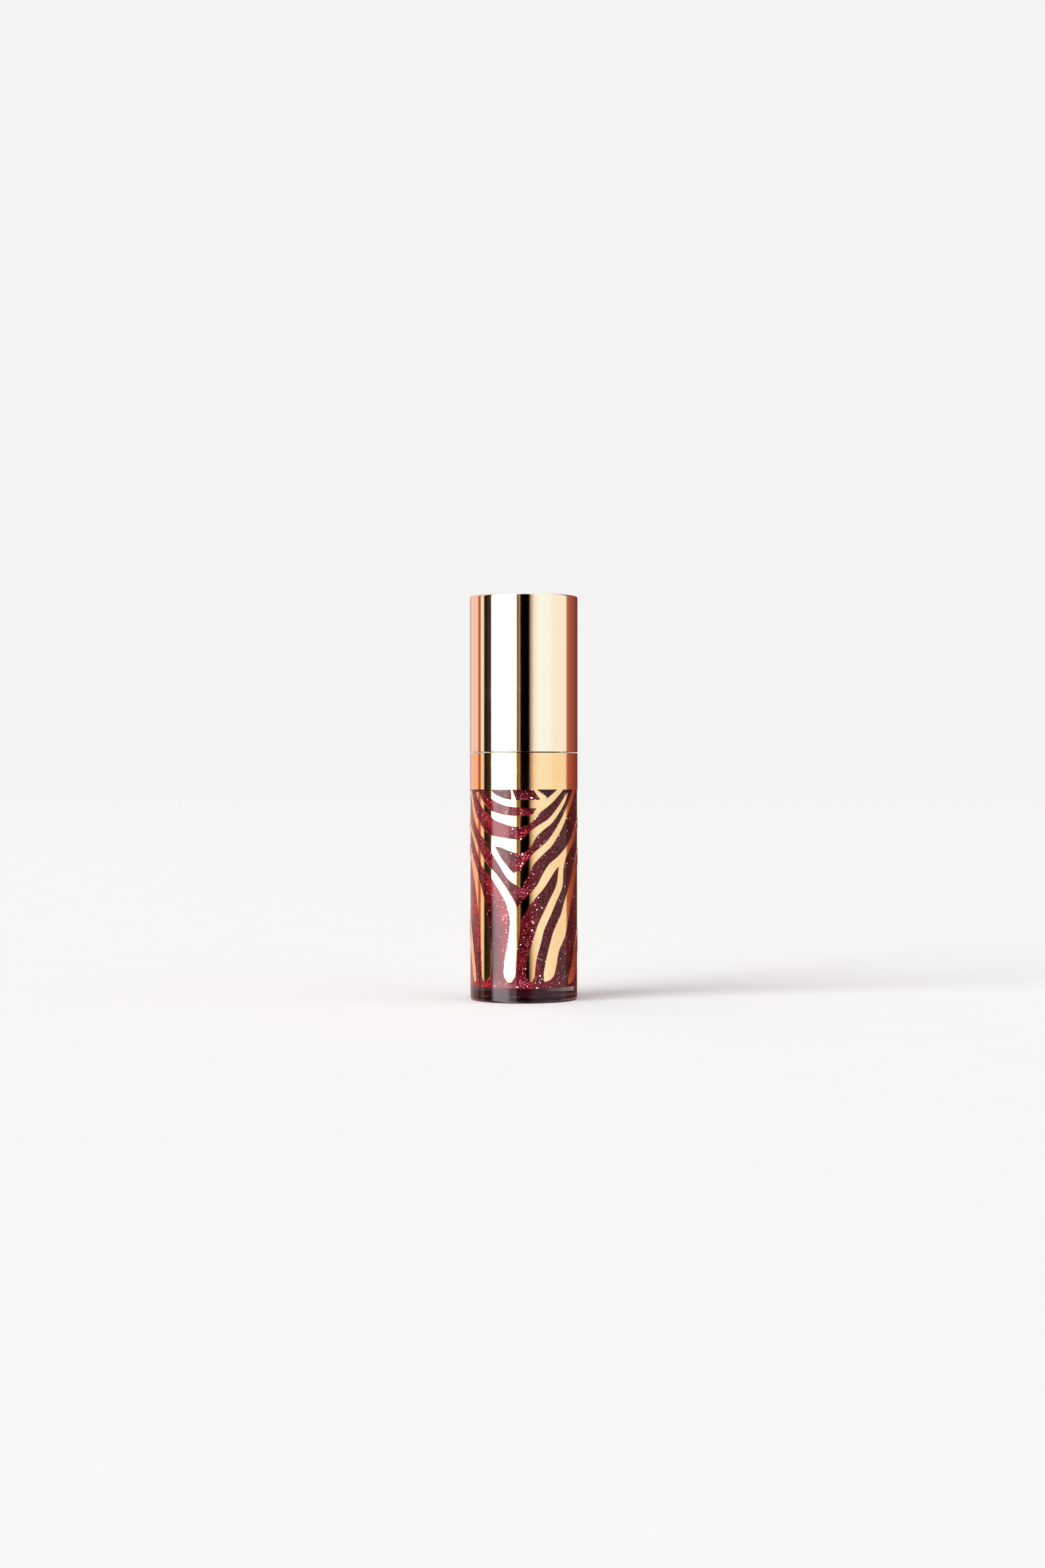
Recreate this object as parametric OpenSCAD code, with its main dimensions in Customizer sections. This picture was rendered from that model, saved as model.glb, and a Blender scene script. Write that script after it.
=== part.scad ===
// Lip gloss tube: a thick-walled clear bottle, wrapped in gold foil with animal stripes,
// and a gold screw cap that carries the wand and its flocked tip.
// Millimetres, +Z up. The origin is the centre of the base, and every piece turns on the Z axis.

/* [Overall] */
// Height of the closed tube
total_h = 78; // [74:0.5:96]
// Diameter of the bottle with its foil, and of the cap
barrel_d = 20.8; // [20:0.1:26]

/* [Bottle] */
// Height of the shoulder that the cap closes on
shoulder_z = 47.7; // [40:0.1:50]
// Thickness of the clear base under the gloss
base_t = 2.7; // [1.5:0.1:5]
// Thickness of the clear side wall
wall_t = 2.8; // [1.2:0.1:3.2]
// Thickness of the shoulder over the gloss chamber
shoulder_t = 2.4; // [1.5:0.1:4]
// Bevel round the foot of the bottle
heel = 0.5; // [0.2:0.1:1]

/* [Neck] */
// Diameter of the neck under its thread
neck_d = 12; // [10:0.1:13]
// Height of the neck above the shoulder
neck_h = 13; // [10:0.1:15]
// Bore of the neck, which the wiper plugs
neck_bore_d = 9.2; // [7.6:0.1:9.8]
// Rise of the thread in one turn
thread_pitch = 3; // [2.4:0.1:3.4]
// Turns from closed to free
thread_turns = 1.5; // [1:0.25:2]
// How far the neck's thread stands out
thread_h = 0.7; // [0.4:0.05:0.8]
// Height of the thread at its root
thread_w = 1.2; // [0.8:0.1:1.4]
// Plain neck above the thread
thread_lead = 1; // [0.5:0.1:2]
// Gap between the crests of the two threads
thread_gap = 0.15; // [0.12:0.01:0.3]

/* [Wiper] */
// How far the flange stops inside the edge of the neck
flange_inset = 0.6; // [0.3:0.1:1]
// Thickness of the flange
wiper_flange_t = 0.8; // [0.5:0.1:1.2]
// Wall of the sleeve
wiper_wall = 0.8; // [0.5:0.1:1.2]
// Length of the sleeve inside the neck
wiper_len = 8.5; // [5:0.1:9.5]
// Thickness of the lip that wipes the wand
wiper_lip_t = 0.8; // [0.4:0.1:1.5]
// Gap between the sleeve and the neck
wiper_fit = 0.02; // [0.01:0.01:0.05]

/* [Gloss] */
// Air left between the gloss and the shoulder
head_space = 3.6; // [1:0.1:10]
// Gap round the tip, where the wand has pushed the gloss aside
wake_gap = 0.25; // [0.1:0.05:0.5]

/* [Foil] */
// Thickness of the foil
foil_t = 0.08; // [0.05:0.01:0.15]
// Height of the plain band under the cap
band_h = 7; // [4:0.1:10]
// Height of the lowest stripe above the base
stripe_foot = 3.2; // [1.5:0.1:6]

/* [Label] */
// Diameter of the blank label under the base
label_d = 14; // [10:0.5:17]
// Thickness of the label
label_t = 0.1; // [0.05:0.05:0.2]
// Depth of the recess that the label lies in
label_recess = 0.3; // [0.2:0.05:0.5]

/* [Cap] */
// Seam between the shoulder and the cap
seam = 0.2; // [0.1:0.05:0.5]
// Wall of the metal shell
cap_wall = 0.45; // [0.3:0.05:0.7]
// Top of the metal shell
cap_top_t = 0.6; // [0.4:0.05:1]
// Bevel round the top of the shell
cap_bevel = 0.3; // [0.1:0.05:0.4]

/* [Inner cap] */
// Wall of the threaded skirt
skirt_wall = 1.2; // [0.8:0.1:1.4]
// Thickness of the ceiling over the neck
ceiling_t = 1.6; // [1:0.1:2.5]
// Number of ribs between the skirt and the shell
rib_count = 12; // [6:1:16]
// Thickness of a rib
rib_t = 0.8; // [0.5:0.1:1.2]
// Gap that the glue fills between the ribs and the shell
glue_gap = 0.05; // [0.02:0.01:0.1]
// How far the skirt stops above the mouth of the shell
skirt_inset = 0.6; // [0.3:0.1:1.5]

/* [Weight] */
// Height of the steel weight
weight_h = 7; // [3:0.1:8]
// Gap round the weight
weight_gap = 0.1; // [0.05:0.01:0.2]

/* [Washer] */
// Thickness of the seal washer
washer_t = 0.8; // [0.5:0.1:1.2]
// Gap above and below the washer
washer_gap = 0.03; // [0.02:0.01:0.05]
// Gap between the washer and the stem
washer_fit = 0.08; // [0.02:0.01:0.1]

/* [Wand] */
// Diameter of the stem
stem_d = 3.4; // [2.6:0.1:3.5]
// Diameter of the head that plugs into the inner cap
head_d = 4.6; // [3.9:0.1:5.2]
// Length of the head
head_h = 5; // [3:0.1:6]
// Wall of the socket that holds the head
socket_wall = 1; // [0.6:0.1:1.4]

/* [Tip] */
// Diameter of the flocked tip at its widest
tip_d = 3.9; // [3.6:0.1:4.7]
// Length of the flocked tip
tip_len = 13; // [9:0.1:16]
// Height of the tip's end above the chamber floor
tip_floor_gap = 2.3; // [1:0.1:6]
// Depth of the flock
flock_t = 0.25; // [0.15:0.05:0.4]
// Slope of the tip's slanted face from the vertical, in degrees
slant = 15; // [13:1:25]
// Thickness left at the end of the slanted face
tip_end_t = 0.8; // [0.5:0.1:1.5]
// Diameter of the peg that holds the tip in the stem
peg_d = 1.8; // [1.4:0.1:2]
// Length of the peg
peg_len = 5; // [3:0.1:8]
// Gap between the widest part of the tip and the wiper's lip
lip_gap = 0.08; // [0.05:0.01:0.2]

/* [Hidden] */
$fn = 96;
cut = 1;          // how far a cut runs past the face that it opens
embed = 0.25;     // how far a thread sinks into the wall that carries it
thread_ease = 0.1;   // how much lower the cap's thread stands than the neck's
thread_flank = 0.3;  // share of a thread's height taken by each sloping side
thread_start = 0.1;  // share of its full height that a thread starts and ends with
thread_fade = 1 / 6; // part of a turn in which a thread grows to its full height
barrel_r = barrel_d / 2;
glass_r = barrel_r - foil_t;
chamber_r = glass_r - wall_t;
chamber_top = shoulder_z - shoulder_t;
gloss_top = chamber_top - head_space;
neck_r = neck_d / 2;
neck_top = shoulder_z + neck_h;
bore_r = neck_bore_d / 2;
crest_r = neck_r + thread_h;
sleeve_r = bore_r - wiper_fit;
lip_r = tip_d / 2 + lip_gap;
wiper_top = neck_top + wiper_flange_t;
washer_z = wiper_top + washer_gap;
washer_r = neck_r - flange_inset;
ceiling_z = washer_z + washer_t + washer_gap;
ceiling_top = ceiling_z + ceiling_t;
cap_z = shoulder_z + seam;
shell_r = barrel_r - cap_wall;
shell_top = total_h - cap_top_t;
skirt_z = cap_z + skirt_inset;
inner_thread_h = thread_h - thread_ease;
skirt_r = crest_r + thread_gap + inner_thread_h;
rib_r = shell_r - glue_gap;
stem_r = stem_d / 2;
head_r = head_d / 2;
socket_r = head_r + socket_wall;
socket_top = ceiling_z + head_h + socket_wall;
weight_z = ceiling_top + weight_gap;
tip_end = base_t + tip_floor_gap;
tip_top = tip_end + tip_len;
tip_r = tip_d / 2;
core_r = tip_r - flock_t;
band_z = shoulder_z - band_h;
stripe_h = band_z - stripe_foot;
thread_z = neck_top - thread_lead - thread_pitch * thread_turns - thread_w;
thread_steps = 24;   // straight pieces in one turn of a thread
stripe_steps = 3;    // straight pieces between two points of a stripe
end_step = 30;       // degrees between two points of a stripe's round end

// Stripes of the foil, seen from the front and taken straight through the barrel. A point is
// [across, up, width]: across and width in hundredths of the barrel's radius, and up in
// hundredths of the striped height. A stripe that starts or ends past 100 runs on into the
// band above it, or round the side of the barrel to its own mirror image on the back.
arch = [[-66, 101, 10], [-59, 97, 10], [-39, 94, 11], [-21, 93, 12.5], [0, 92.7, 14],
        [10, 92.6, 14.5], [20, 92.6, 15.5], [31, 92.8, 14.5], [39, 93, 13]];
upper_chevron = [[-85.5, 98.7, 6], [-80.5, 94.8, 6.5], [-74.5, 91.9, 7.5], [-65.5, 89, 8],
                 [-59, 87.6, 9.5], [-51, 86.3, 13], [-40, 85.2, 14.5], [-29, 84.5, 17],
                 [-21, 84.1, 19], [-11.5, 83.8, 20], [0, 84, 18.5], [7.5, 84.6, 15.5],
                 [13.5, 85.6, 12.5], [20, 86.5, 9], [24.5, 88.8, 9.5], [35, 91.5, 11.5],
                 [49, 94.8, 11.5], [66, 99.6, 8.5], [69.5, 101, 8]];
middle_chevron = [[-100, 101, 3], [-97, 97.6, 3], [-95, 94.8, 3.5], [-92.5, 90, 4.5],
                  [-89.5, 86.2, 6], [-86, 83.4, 7.5], [-78.5, 79.2, 9.5], [-72, 76.8, 11.5],
                  [-65, 75.2, 14], [-57, 74, 17], [-38, 73, 18], [-16, 71.4, 24], [1, 71.8, 22],
                  [16, 77, 16], [33, 81, 12], [48, 84, 10], [62, 89, 8], [73, 94, 6], [80, 98, 3]];
lower_chevron = [[-64, 73, 13], [-47, 65, 9], [-38, 61.3, 10.5], [-29, 57.8, 13], [-19, 55.2, 16],
                 [-8, 54.2, 18], [3, 58.5, 16], [12, 63, 14], [22, 66.2, 14], [33, 69, 13],
                 [48, 73, 12], [62, 79, 10], [73, 85, 8], [82, 91, 7], [90, 97, 5], [95, 101, 4]];
chevron_tip = [[-10, 58.4, 14], [-7, 51.9, 13]];
left_trunk = [[-103, 88, 3], [-99.5, 82, 3.5], [-96.5, 79, 4], [-92.7, 75.9, 4.2], [-89.4, 73, 5],
              [-85.6, 69.7, 6], [-78.6, 65.1, 8], [-72, 61.4, 10], [-57.6, 56.7, 11.5],
              [-48, 53.2, 12], [-36.5, 48.3, 13], [-26, 43.4, 14.5], [-19.5, 38.2, 17],
              [-16, 32.5, 18.5], [-17.5, 26.9, 19], [-20, 21, 18], [-23, 16.4, 20],
              [-24.8, 11.9, 20.7], [-26, 7.4, 21], [-26, 4.8, 18], [-26, 3.9, 12]];
right_branch = [[-19, 29, 10], [-9, 37, 18], [6, 43, 15], [19, 47, 13], [31, 51, 13.5],
                [41.5, 56, 16], [52, 60.5, 16], [62, 63.2, 14.5], [70, 65.6, 12.5], [80, 69.5, 9.5],
                [88, 73.5, 7], [93, 77, 5.5], [98, 81, 4.5], [103, 86, 4]];
inner_leg = [[73, 67, 11], [68.4, 60, 9], [65, 51, 11.5], [53, 43.3, 13], [44.5, 38, 14],
             [36, 33, 14.3], [30, 29, 14], [22.5, 21.5, 15.5], [18, 17.5, 16.3], [14.7, 13.8, 16.5],
             [13, 9.7, 16], [12, 5.2, 15], [12, 3.8, 10]];
outer_leg = [[103, 70, 5], [100, 66, 6], [94.6, 59.5, 7], [90, 53, 9], [85, 47.4, 11],
             [79.5, 41, 13.5], [75.5, 36, 15.5], [70, 31, 20], [64.5, 26.2, 23.5], [60.5, 23, 22],
             [56, 19.4, 19.8], [51.7, 14.5, 19.8], [48.8, 10, 20.5], [46, 6.7, 20], [42.5, 4.6, 15],
             [40, 3.6, 8]];
right_foot = [[103, 30, 4], [99, 22, 6], [95.5, 16, 7.5], [93.6, 11, 9.5], [90.4, 6.4, 11],
              [87, 3, 11], [85, 1.6, 7]];
left_foot = [[-103, 39, 4], [-98, 27, 5], [-95, 17, 6], [-91, 6, 6], [-90, 2, 4]];
left_leg = [[-103, 72, 5], [-95, 64, 6], [-89, 57, 9], [-83, 49, 12], [-76, 38, 16], [-71, 27, 18],
            [-69, 17, 19], [-69, 7, 17], [-71, 4.2, 13], [-72, 3.4, 8]];
hook = [[-24, 101, 1.5], [-21, 98, 4], [-19, 95, 8]];
spur = [[17, 101, 4], [26, 98.2, 7.5], [36, 95.5, 12]];
STRIPES = [arch, upper_chevron, middle_chevron, lower_chevron, chevron_tip, left_trunk, right_branch,
           inner_leg, outer_leg, right_foot, left_foot, left_leg, hook, spur];

// A smooth curve through a list of points, with a number of straight pieces between each two.
function curve_point(a, b, c, d, t) =
    (2 * b + (c - a) * t + (2 * a - 5 * b + 4 * c - d) * t * t
     + (3 * b - a - 3 * c + d) * t * t * t) / 2;
function curve(p, steps) =
    let (last = len(p) - 1)
    [for (i = [0 : last - 1], k = [0 : steps - 1])
        curve_point(p[max(i - 1, 0)], p[i], p[i + 1], p[min(i + 2, last)], k / steps),
     p[last]];

// A stripe's points in millimetres on the barrel that it is wrapped on.
function placed(p) = [for (q = p) [q[0] * barrel_r / 100, stripe_foot + q[1] * stripe_h / 100,
                                   q[2] * barrel_r / 100]];

// The edge of a stripe on one side of its middle line, at half its width.
function edge(p, side) =
    let (last = len(p) - 1)
    [for (i = [0 : last])
        let (ahead = p[min(i + 1, last)] - p[max(i - 1, 0)],
             run = norm([ahead[0], ahead[1]]),
             out = [-ahead[1], ahead[0]] / run)
        [p[i][0], p[i][1]] + side * out * p[i][2] / 2];

function backwards(p) = [for (i = [len(p) - 1 : -1 : 0]) p[i]];

// The points that round off the last end of a stripe.
function round_end(p) =
    let (tip = p[len(p) - 1],
         run = tip - p[len(p) - 2],
         heading = atan2(run[1], run[0]))
    [for (a = [90 - end_step : -end_step : end_step - 90])
        [tip[0], tip[1]] + tip[2] / 2 * [cos(heading + a), sin(heading + a)]];

module stripe(points) {
    middle = curve(placed(points), stripe_steps);
    polygon(concat(edge(middle, 1), round_end(middle), backwards(edge(middle, -1))));
}

// A helical ridge round the Z axis, with a sloped profile that runs out at both ends. The
// rise is from the wall outwards, and a negative rise turns the ridge inwards.
module thread(wall_r, rise) {
    rings = ceil(thread_steps * thread_turns);
    fade = thread_steps * thread_fade;
    sunk = rise > 0 ? -embed : embed;
    ring_points = [for (i = [0 : rings])
        let (height = rise * max(thread_start, min([1, i / fade, (rings - i) / fade])),
             turn = 360 * i / thread_steps,
             z = thread_pitch * i / thread_steps)
        for (q = [[wall_r + sunk, 0], [wall_r + height, thread_w * thread_flank],
                  [wall_r + height, thread_w * (1 - thread_flank)], [wall_r + sunk, thread_w]])
            [q[0] * cos(turn), q[0] * sin(turn), z + q[1]]];
    sides = [for (i = [0 : rings - 1], k = [0 : 3])
        let (a = 4 * i + k, b = 4 * i + (k + 1) % 4)
        rise > 0 ? [a, b, b + 4, a + 4] : [a + 4, b + 4, b, a]];
    ends = rise > 0 ? [[3, 2, 1, 0], [for (k = [0 : 3]) 4 * rings + k]]
                    : [[0, 1, 2, 3], [for (k = [3 : -1 : 0]) 4 * rings + k]];
    polyhedron(ring_points, concat(sides, ends), convexity = 6);
}

// A round-ended tip with one slanted flat face, standing down from the stem. The flock's
// outside is the same shape as the core's, with its flat face further out by the skin.
module slanted_tip(r, end_z, skin) {
    difference() {
        union() {
            translate([0, 0, end_z + r])
                cylinder(r = r, h = tip_top - end_z - r);
            translate([0, 0, end_z + r])
                sphere(r = r);
        }
        translate([0, tip_end_t - core_r, tip_end + flock_t])
            rotate([-slant, 0, 0])
                translate([-barrel_r, skin, -tip_len])
                    cube([barrel_d, barrel_d, 3 * tip_len]);
    }
}

module bottle() {
    color([0.93, 0.9, 0.92, 0.4])
        difference() {
            union() {
                cylinder(r1 = glass_r - heel, r2 = glass_r, h = heel);
                translate([0, 0, heel])
                    cylinder(r = glass_r, h = shoulder_z - heel);
                cylinder(r = neck_r, h = neck_top);
                translate([0, 0, thread_z])
                    thread(neck_r, thread_h);
            }
            translate([0, 0, base_t])
                cylinder(r = chamber_r, h = chamber_top - base_t);
            translate([0, 0, base_t + cut])
                cylinder(r = bore_r, h = neck_top - base_t);
            translate([0, 0, -cut])
                cylinder(d = label_d, h = label_recess + cut);
        }
}

module gloss() {
    color([0.55, 0.13, 0.25])
        difference() {
            translate([0, 0, base_t])
                cylinder(r = chamber_r, h = gloss_top - base_t);
            translate([0, 0, tip_end - wake_gap])
                cylinder(r = tip_r + wake_gap, h = gloss_top);
        }
}

module gold_foil() {
    color([0.95, 0.76, 0.42])
        intersection() {
            difference() {
                translate([0, 0, stripe_foot - cut])
                    cylinder(r = barrel_r, h = shoulder_z - stripe_foot + cut);
                translate([0, 0, -cut])
                    cylinder(r = glass_r, h = total_h);
            }
            union() {
                translate([-barrel_d, -barrel_d, band_z])
                    cube([2 * barrel_d, 2 * barrel_d, band_h + cut]);
                for (points = STRIPES)
                    translate([0, barrel_d, 0])
                        rotate([90, 0, 0])
                            linear_extrude(2 * barrel_d)
                                stripe(points);
            }
        }
}

module shade_label() {
    color([0.9, 0.86, 0.84])
        translate([0, 0, label_recess - label_t])
            cylinder(d = label_d, h = label_t);
}

module wiper() {
    color([0.92, 0.92, 0.9])
        rotate_extrude()
            polygon([[lip_r, neck_top - wiper_len],
                     [sleeve_r - wiper_wall, neck_top - wiper_len],
                     [sleeve_r, neck_top - wiper_len + wiper_wall],
                     [sleeve_r, neck_top],
                     [washer_r, neck_top],
                     [washer_r, wiper_top],
                     [sleeve_r - wiper_wall, wiper_top],
                     [sleeve_r - wiper_wall, neck_top - wiper_len + 2 * wiper_lip_t],
                     [lip_r, neck_top - wiper_len + wiper_lip_t]]);
}

module seal_washer() {
    color([0.96, 0.95, 0.92])
        translate([0, 0, washer_z])
            difference() {
                cylinder(r = washer_r, h = washer_t);
                translate([0, 0, -cut])
                    cylinder(r = stem_r + washer_fit, h = washer_t + 2 * cut);
            }
}

module cap_weight() {
    color([0.6, 0.61, 0.63])
        translate([0, 0, weight_z])
            difference() {
                cylinder(r = shell_r - weight_gap, h = weight_h);
                translate([0, 0, -cut])
                    cylinder(r = socket_r + weight_gap, h = weight_h + 2 * cut);
            }
}

module cap_shell() {
    color([0.96, 0.84, 0.6])
        rotate_extrude()
            polygon([[shell_r, cap_z], [barrel_r, cap_z], [barrel_r, total_h - cap_bevel],
                     [barrel_r - cap_bevel, total_h], [0, total_h], [0, shell_top],
                     [shell_r, shell_top]]);
}

// The ribs that centre the inner cap in the shell.
module centring_ribs() {
    rib_root = skirt_r + skirt_wall / 2;
    for (i = [0 : rib_count - 1])
        rotate([0, 0, 360 * i / rib_count])
            translate([rib_root, -rib_t / 2, skirt_z])
                cube([rib_r - rib_root - glue_gap, rib_t, ceiling_top - skirt_z]);
}

module inner_cap() {
    color([0.9, 0.89, 0.86])
        difference() {
            union() {
                difference() {
                    translate([0, 0, skirt_z])
                        cylinder(r = skirt_r + skirt_wall, h = ceiling_top - skirt_z);
                    translate([0, 0, skirt_z - cut])
                        cylinder(r = skirt_r, h = ceiling_z - skirt_z + cut);
                }
                translate([0, 0, thread_z - thread_pitch / 2])
                    thread(skirt_r, -inner_thread_h);
                translate([0, 0, ceiling_z])
                    cylinder(r = rib_r, h = ceiling_t);
                centring_ribs();
                translate([0, 0, ceiling_z])
                    cylinder(r = socket_r, h = socket_top - ceiling_z);
            }
            translate([0, 0, ceiling_z - cut])
                cylinder(r = head_r, h = head_h + cut);
        }
}

module wand_stem() {
    color([0.16, 0.1, 0.11])
        difference() {
            union() {
                translate([0, 0, tip_top])
                    cylinder(r = stem_r, h = ceiling_z - tip_top);
                translate([0, 0, ceiling_z])
                    cylinder(r = head_r, h = head_h);
            }
            translate([0, 0, tip_top - cut])
                cylinder(d = peg_d, h = peg_len + cut);
        }
}

module tip_core() {
    color([0.85, 0.8, 0.8])
        union() {
            slanted_tip(core_r, tip_end + flock_t, 0);
            translate([0, 0, tip_top - cut])
                cylinder(d = peg_d, h = peg_len + cut);
        }
}

module tip_flock() {
    color([0.62, 0.2, 0.32])
        difference() {
            slanted_tip(tip_r, tip_end, flock_t);
            slanted_tip(core_r, tip_end + flock_t, 0);
        }
}

bottle();
gloss();
gold_foil();
shade_label();
wiper();
seal_washer();
cap_weight();
cap_shell();
inner_cap();
wand_stem();
tip_core();
tip_flock();
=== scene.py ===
# %% [markdown]
# # A lip gloss tube, piece by piece
# The tube is a heavy clear bottle full of glitter gloss, wrapped in gold foil that is cut into
# animal stripes, and closed by a gold screw cap that carries the wand. Every piece here is
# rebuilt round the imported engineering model, which gives the places, sizes and moving bodies.
# Everything is in metres, with +Z up the tube and the front of the pattern facing -Y.

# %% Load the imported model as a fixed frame
from math import asin, atan2, cos, hypot, pi, radians, sin, tan

import bmesh
import bpy
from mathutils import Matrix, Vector
from mathutils.geometry import delaunay_2d_cdt


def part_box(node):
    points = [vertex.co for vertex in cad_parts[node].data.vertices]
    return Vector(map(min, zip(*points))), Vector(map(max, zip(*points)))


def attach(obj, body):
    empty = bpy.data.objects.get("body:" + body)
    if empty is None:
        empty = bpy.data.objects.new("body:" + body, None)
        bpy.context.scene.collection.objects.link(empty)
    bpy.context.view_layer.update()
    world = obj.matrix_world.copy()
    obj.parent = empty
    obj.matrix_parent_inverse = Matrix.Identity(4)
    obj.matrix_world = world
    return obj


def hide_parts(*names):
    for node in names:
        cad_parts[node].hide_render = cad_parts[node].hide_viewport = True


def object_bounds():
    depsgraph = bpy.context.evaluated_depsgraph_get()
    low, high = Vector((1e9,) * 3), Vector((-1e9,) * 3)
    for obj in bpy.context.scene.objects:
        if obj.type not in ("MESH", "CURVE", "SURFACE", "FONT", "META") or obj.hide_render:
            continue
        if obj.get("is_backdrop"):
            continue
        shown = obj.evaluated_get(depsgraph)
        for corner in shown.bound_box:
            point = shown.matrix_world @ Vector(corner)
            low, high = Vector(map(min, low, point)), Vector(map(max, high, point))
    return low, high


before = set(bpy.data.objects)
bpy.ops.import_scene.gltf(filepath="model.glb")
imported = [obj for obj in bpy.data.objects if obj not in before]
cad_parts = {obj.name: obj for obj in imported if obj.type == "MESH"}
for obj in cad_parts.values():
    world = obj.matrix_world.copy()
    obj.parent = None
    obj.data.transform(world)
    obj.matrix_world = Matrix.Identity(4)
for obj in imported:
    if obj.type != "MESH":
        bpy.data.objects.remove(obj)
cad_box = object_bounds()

MM = 0.001

# %% [markdown]
# ## The measures that the pieces share
# The frame says where each piece sits, so the radii and heights below are read from it. Only
# what a box can't tell, such as the neck under its thread, is written as a number.

# %% Read the radii and heights
BARREL_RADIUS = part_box("gold_foil")[1].x
GLASS_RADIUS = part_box("bottle")[1].x
CHAMBER_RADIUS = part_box("gloss")[1].x
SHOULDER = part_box("gold_foil")[1].z
NECK_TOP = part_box("bottle")[1].z
BASE_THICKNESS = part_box("gloss")[0].z
GLOSS_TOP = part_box("gloss")[1].z
CAP_BOTTOM, CAP_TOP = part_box("cap_shell")[0].z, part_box("cap_shell")[1].z
TIP_END, TIP_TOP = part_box("tip_flock")[0].z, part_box("tip_flock")[1].z
TIP_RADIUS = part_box("tip_flock")[1].x
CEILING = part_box("seal_washer")[1].z + 0.03 * MM
CHAMBER_TOP = SHOULDER - 2.4 * MM
NECK_RADIUS, BORE_RADIUS = 6 * MM, 4.6 * MM
STEM_RADIUS = 1.7 * MM
print(f"barrel radius {BARREL_RADIUS / MM:.2f} mm, height {CAP_TOP / MM:.2f} mm")

# %% [markdown]
# ## A lathe
# Nearly every piece of a gloss tube is round, because it is moulded or drawn on round tooling.
# A plain cylinder would have dead sharp edges, and no real edge is sharp, so each piece is
# turned from its own outline with a small fillet on every corner. Next to a fillet sits one
# more ring, which keeps the flat beside it looking flat under smooth shading.

# %% Round the corners of an outline
def rounded(corners, steps=6, hold=0.03 * MM):
    """Points (radius, height) of an outline given as (radius, height, fillet) corners."""
    outline = []
    for i, (r, z, fillet) in enumerate(corners):
        corner = Vector((r, z))
        if not fillet:
            outline.append((r, z))
            continue
        back = (Vector(corners[i - 1][:2]) - corner).normalized()
        ahead = (Vector(corners[(i + 1) % len(corners)][:2]) - corner).normalized()
        half = back.angle(ahead) / 2
        reach = fillet / tan(half)
        centre = corner + (back + ahead).normalized() * fillet / sin(half)
        first = (corner + back * reach - centre).normalized()
        last = (corner + ahead * reach - centre).normalized()
        outline.append(tuple(corner + back * (reach + hold)))
        for s in range(steps + 1):
            outline.append(tuple(centre + first.slerp(last, s / steps) * fillet))
        outline.append(tuple(corner + ahead * (reach + hold)))
    return outline


# %% Finish a mesh: normals out, crisp edges crisp, everything else smooth
def into_piece(name, bm, crisp=radians(35)):
    """Make an object of a bmesh, with outward faces and edges sharp past an angle."""
    bmesh.ops.remove_doubles(bm, verts=bm.verts, dist=1e-8)
    bmesh.ops.recalc_face_normals(bm, faces=bm.faces)
    for face in bm.faces:
        face.smooth = True
    for edge in bm.edges:
        edge.smooth = len(edge.link_faces) == 2 and edge.calc_face_angle(0) < crisp
    mesh = bpy.data.meshes.new(name)
    bm.to_mesh(mesh)
    bm.free()
    piece = bpy.data.objects.new(name, mesh)
    bpy.context.scene.collection.objects.link(piece)
    return piece


# %% Turn an outline into a closed round skin
def add_turned(bm, outline, segments=256, reshape=None):
    """Add the skin of a closed outline turned round Z; reshape may change any radius."""
    rings = []
    for r, z in outline:
        if r < 1e-7:
            rings.append([bm.verts.new((0, 0, z))])
            continue
        ring = []
        for k in range(segments):
            a = 2 * pi * k / segments
            reach = reshape(a, r, z) if reshape else r
            ring.append(bm.verts.new((reach * cos(a), reach * sin(a), z)))
        rings.append(ring)
    for lower, upper in zip(rings, rings[1:] + rings[:1]):
        for k in range(segments):
            quad = [lower[k % len(lower)], lower[(k + 1) % len(lower)],
                    upper[(k + 1) % len(upper)], upper[k % len(upper)]]
            corners = list(dict.fromkeys(quad))
            if len(corners) > 2:
                bm.faces.new(corners)


def turned(name, outline, segments=256, reshape=None):
    bm = bmesh.new()
    add_turned(bm, outline, segments, reshape)
    piece = into_piece(name, bm)
    print(f"{name}: {len(piece.data.polygons)} faces")
    return piece


def seat(piece, body, node):
    """Tie a piece to the body it moves with, and hide the CAD node it stands for."""
    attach(piece, body)
    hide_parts(node)
    return piece


# %% [markdown]
# ## The screw thread
# A moulded thread is one low ridge that climbs the wall and fades out at both ends. It could be
# a strip swept along a helix and joined on, but on a clear neck the join would show as a seam
# of glass inside glass. So the ridge is a rule for the radius instead: the lathe asks, at each
# angle and height, how far the ridge stands out there, and the wall and the thread are one skin.

# %% The height of the ridge at an angle and a height
THREAD_PITCH, THREAD_TURNS, THREAD_WIDTH = 3 * MM, 1.5, 1.2 * MM
THREAD_START = NECK_TOP - 1 * MM - THREAD_PITCH * THREAD_TURNS - THREAD_WIDTH
THREAD_FADE = 1 / 6


def ridge(angle, z, start):
    """How much of its full height a thread has at a place: 0 on the bare wall, 1 on the crest."""
    best = 0
    for lap in range(2):
        turn = angle / (2 * pi) + lap
        if turn > THREAD_TURNS:
            continue
        off = abs(z - start - THREAD_PITCH * turn - THREAD_WIDTH / 2)
        flank = (THREAD_WIDTH / 2 - off) / (0.3 * THREAD_WIDTH)
        fade = min(1, turn / THREAD_FADE, (THREAD_TURNS - turn) / THREAD_FADE)
        best = max(best, min(1, flank) * fade)
    return best


def wall_rows(radius, low, high, step=0.12 * MM):
    """Closely spaced points up a wall, so that a thread has rows to stand on."""
    count = int((high - low) / step)
    return [(radius, low + (high - low) * i / count) for i in range(count + 1)]


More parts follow.
